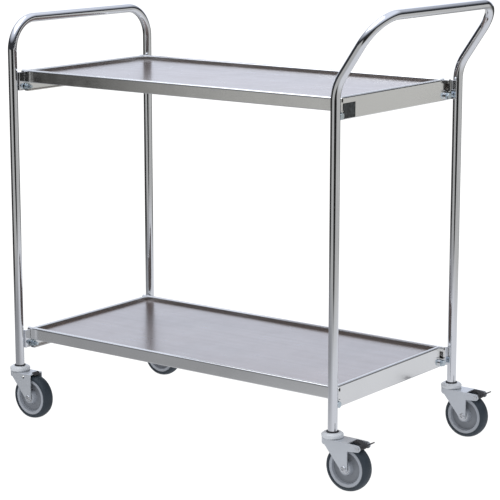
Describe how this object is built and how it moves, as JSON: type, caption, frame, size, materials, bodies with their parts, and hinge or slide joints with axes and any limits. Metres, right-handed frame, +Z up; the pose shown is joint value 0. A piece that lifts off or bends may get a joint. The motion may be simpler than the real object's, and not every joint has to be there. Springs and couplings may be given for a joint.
{
  "type": "serving trolley",
  "caption": "Long bent-tube serving trolley with two rimmed shelves, a raised end hoop, a leaning push handle, swivel casters and brake pedals at the handle end",
  "frame": {"origin": "On the floor, under the middle of the whole outline", "axes": "+X along the length towards the push handle, +Y across to the back side, +Z up"},
  "size_m": [0.998, 0.512, 0.9691],
  "materials": {
    "chrome_tube": "polished",
    "rail_steel": "satin",
    "shelf_board": "glossy laminate",
    "zinc_bolt": "zinc plated",
    "dark_badge": "matte",
    "black_plastic": "matte",
    "plain_steel": "satin",
    "zinc_fork": "satin zinc grey",
    "grey_wheel": "satin",
    "grey_tyre": "matte"
  },
  "bodies": {
    "cart": {"end_hoop": "chrome_tube", "push_hoop": "chrome_tube", "upper_front_rail": "rail_steel", "upper_back_rail": "rail_steel", "upper_left_rail": "rail_steel", "upper_right_rail": "rail_steel", "upper_board": "shelf_board", "lower_front_rail": "rail_steel", "lower_back_rail": "rail_steel", "lower_left_rail": "rail_steel", "lower_right_rail": "rail_steel", "lower_board": "shelf_board", "brackets_front_left": "chrome_tube", "brackets_back_left": "chrome_tube", "brackets_front_right": "chrome_tube", "brackets_back_right": "chrome_tube", "shelf_bolts": "zinc_bolt", "shelf_nuts": "zinc_bolt", "rail_badge": "dark_badge", "stem_plugs": "black_plastic", "king_pins": "plain_steel", "swivel_cap_front_left": "zinc_fork", "swivel_cap_back_left": "zinc_fork", "swivel_cap_front_right": "zinc_fork", "swivel_cap_back_right": "zinc_fork", "race_balls_front_left": "plain_steel", "race_balls_back_left": "plain_steel", "race_balls_front_right": "plain_steel", "race_balls_back_right": "plain_steel"},
    "swivel_front_left": {"fork_front_left": "zinc_fork", "axle_front_left": "plain_steel", "fork_cap_front_left": "black_plastic"},
    "wheel_front_left": {"wheel_front_left": "grey_wheel", "tyre_front_left": "grey_tyre", "bearings_front_left": "plain_steel"},
    "swivel_back_left": {"fork_back_left": "zinc_fork", "axle_back_left": "plain_steel", "fork_cap_back_left": "black_plastic"},
    "wheel_back_left": {"wheel_back_left": "grey_wheel", "tyre_back_left": "grey_tyre", "bearings_back_left": "plain_steel"},
    "swivel_front_right": {"fork_front_right": "zinc_fork", "axle_front_right": "plain_steel", "brake_pin_front_right": "plain_steel"},
    "wheel_front_right": {"wheel_front_right": "grey_wheel", "tyre_front_right": "grey_tyre", "bearings_front_right": "plain_steel"},
    "pedal_front_right": {"brake_pedal_front_right": "black_plastic"},
    "swivel_back_right": {"fork_back_right": "zinc_fork", "axle_back_right": "plain_steel", "brake_pin_back_right": "plain_steel"},
    "wheel_back_right": {"wheel_back_right": "grey_wheel", "tyre_back_right": "grey_tyre", "bearings_back_right": "plain_steel"},
    "pedal_back_right": {"brake_pedal_back_right": "black_plastic"}
  },
  "joints": [
    {"name": "swivel_front_left_turn", "type": "hinge", "parent": "cart", "child": "swivel_front_left", "pos_m": [-0.476, -0.233, 0.1], "axis": [0, 0, 1], "continuous": true},
    {"name": "wheel_front_left_roll", "type": "hinge", "parent": "swivel_front_left", "child": "wheel_front_left", "pos_m": [-0.435, -0.233, 0.05], "axis": [0, 1, 0], "continuous": true},
    {"name": "swivel_back_left_turn", "type": "hinge", "parent": "cart", "child": "swivel_back_left", "pos_m": [-0.476, 0.233, 0.1], "axis": [0, 0, 1], "continuous": true},
    {"name": "wheel_back_left_roll", "type": "hinge", "parent": "swivel_back_left", "child": "wheel_back_left", "pos_m": [-0.435, 0.233, 0.05], "axis": [0, 1, 0], "continuous": true},
    {"name": "swivel_front_right_turn", "type": "hinge", "parent": "cart", "child": "swivel_front_right", "pos_m": [0.392, -0.233, 0.1], "axis": [0, 0, 1], "continuous": true},
    {"name": "wheel_front_right_roll", "type": "hinge", "parent": "swivel_front_right", "child": "wheel_front_right", "pos_m": [0.433, -0.233, 0.05], "axis": [0, 1, 0], "continuous": true},
    {"name": "pedal_front_right_press", "type": "hinge", "parent": "swivel_front_right", "child": "pedal_front_right", "pos_m": [0.465, -0.233, 0.09777], "axis": [0, 1, 0], "range_deg": [0, 20]},
    {"name": "swivel_back_right_turn", "type": "hinge", "parent": "cart", "child": "swivel_back_right", "pos_m": [0.392, 0.233, 0.1], "axis": [0, 0, 1], "continuous": true},
    {"name": "wheel_back_right_roll", "type": "hinge", "parent": "swivel_back_right", "child": "wheel_back_right", "pos_m": [0.433, 0.233, 0.05], "axis": [0, 1, 0], "continuous": true},
    {"name": "pedal_back_right_press", "type": "hinge", "parent": "swivel_back_right", "child": "pedal_back_right", "pos_m": [0.465, 0.233, 0.09777], "axis": [0, 1, 0], "range_deg": [0, 20]}
  ]
}
